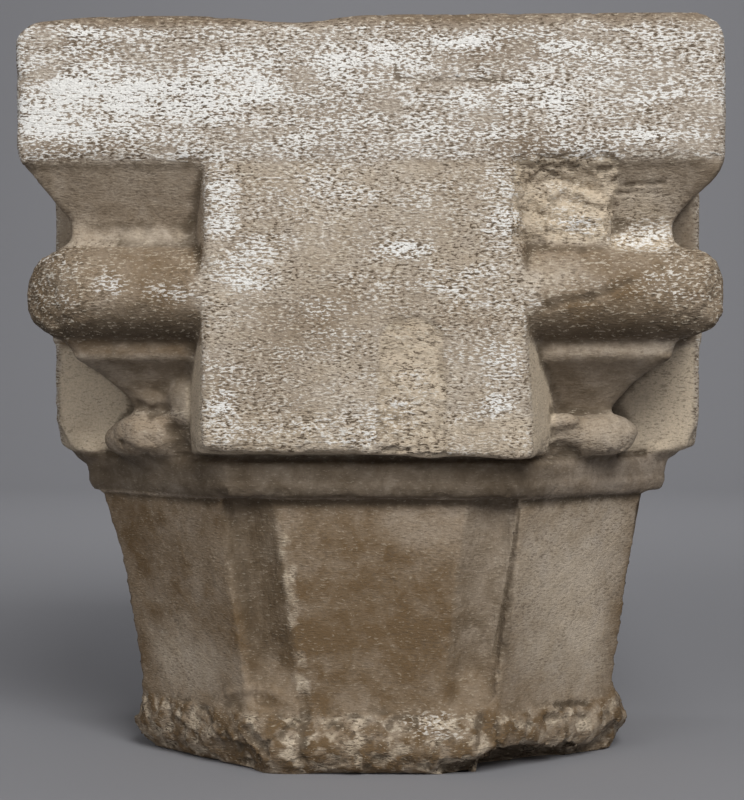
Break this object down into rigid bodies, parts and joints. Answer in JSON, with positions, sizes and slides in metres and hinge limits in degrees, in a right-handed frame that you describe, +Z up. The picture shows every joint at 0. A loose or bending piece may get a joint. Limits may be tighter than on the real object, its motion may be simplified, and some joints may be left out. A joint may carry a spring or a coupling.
{
  "type": "stone capital",
  "caption": "Carved stone capital: square abacus over plain side blocks and moulded corners, with a necking, a fluted octagonal bell and a broken base roll.",
  "frame": {"origin": "centre of the lower bed, which is the centre of the bounding box's bottom face", "axes": "+Z up through the bell to the upper bed; -Y towards the front, the side with the abraded abacus face; +X to the right of someone who faces the front"},
  "size_m": [0.32, 0.32, 0.35],
  "materials": {
    "limestone": "weathered limestone with brown patina, pale abraded deposits and dusty recesses"
  },
  "bodies": {
    "root": {"capital": "limestone"}
  },
  "joints": []
}
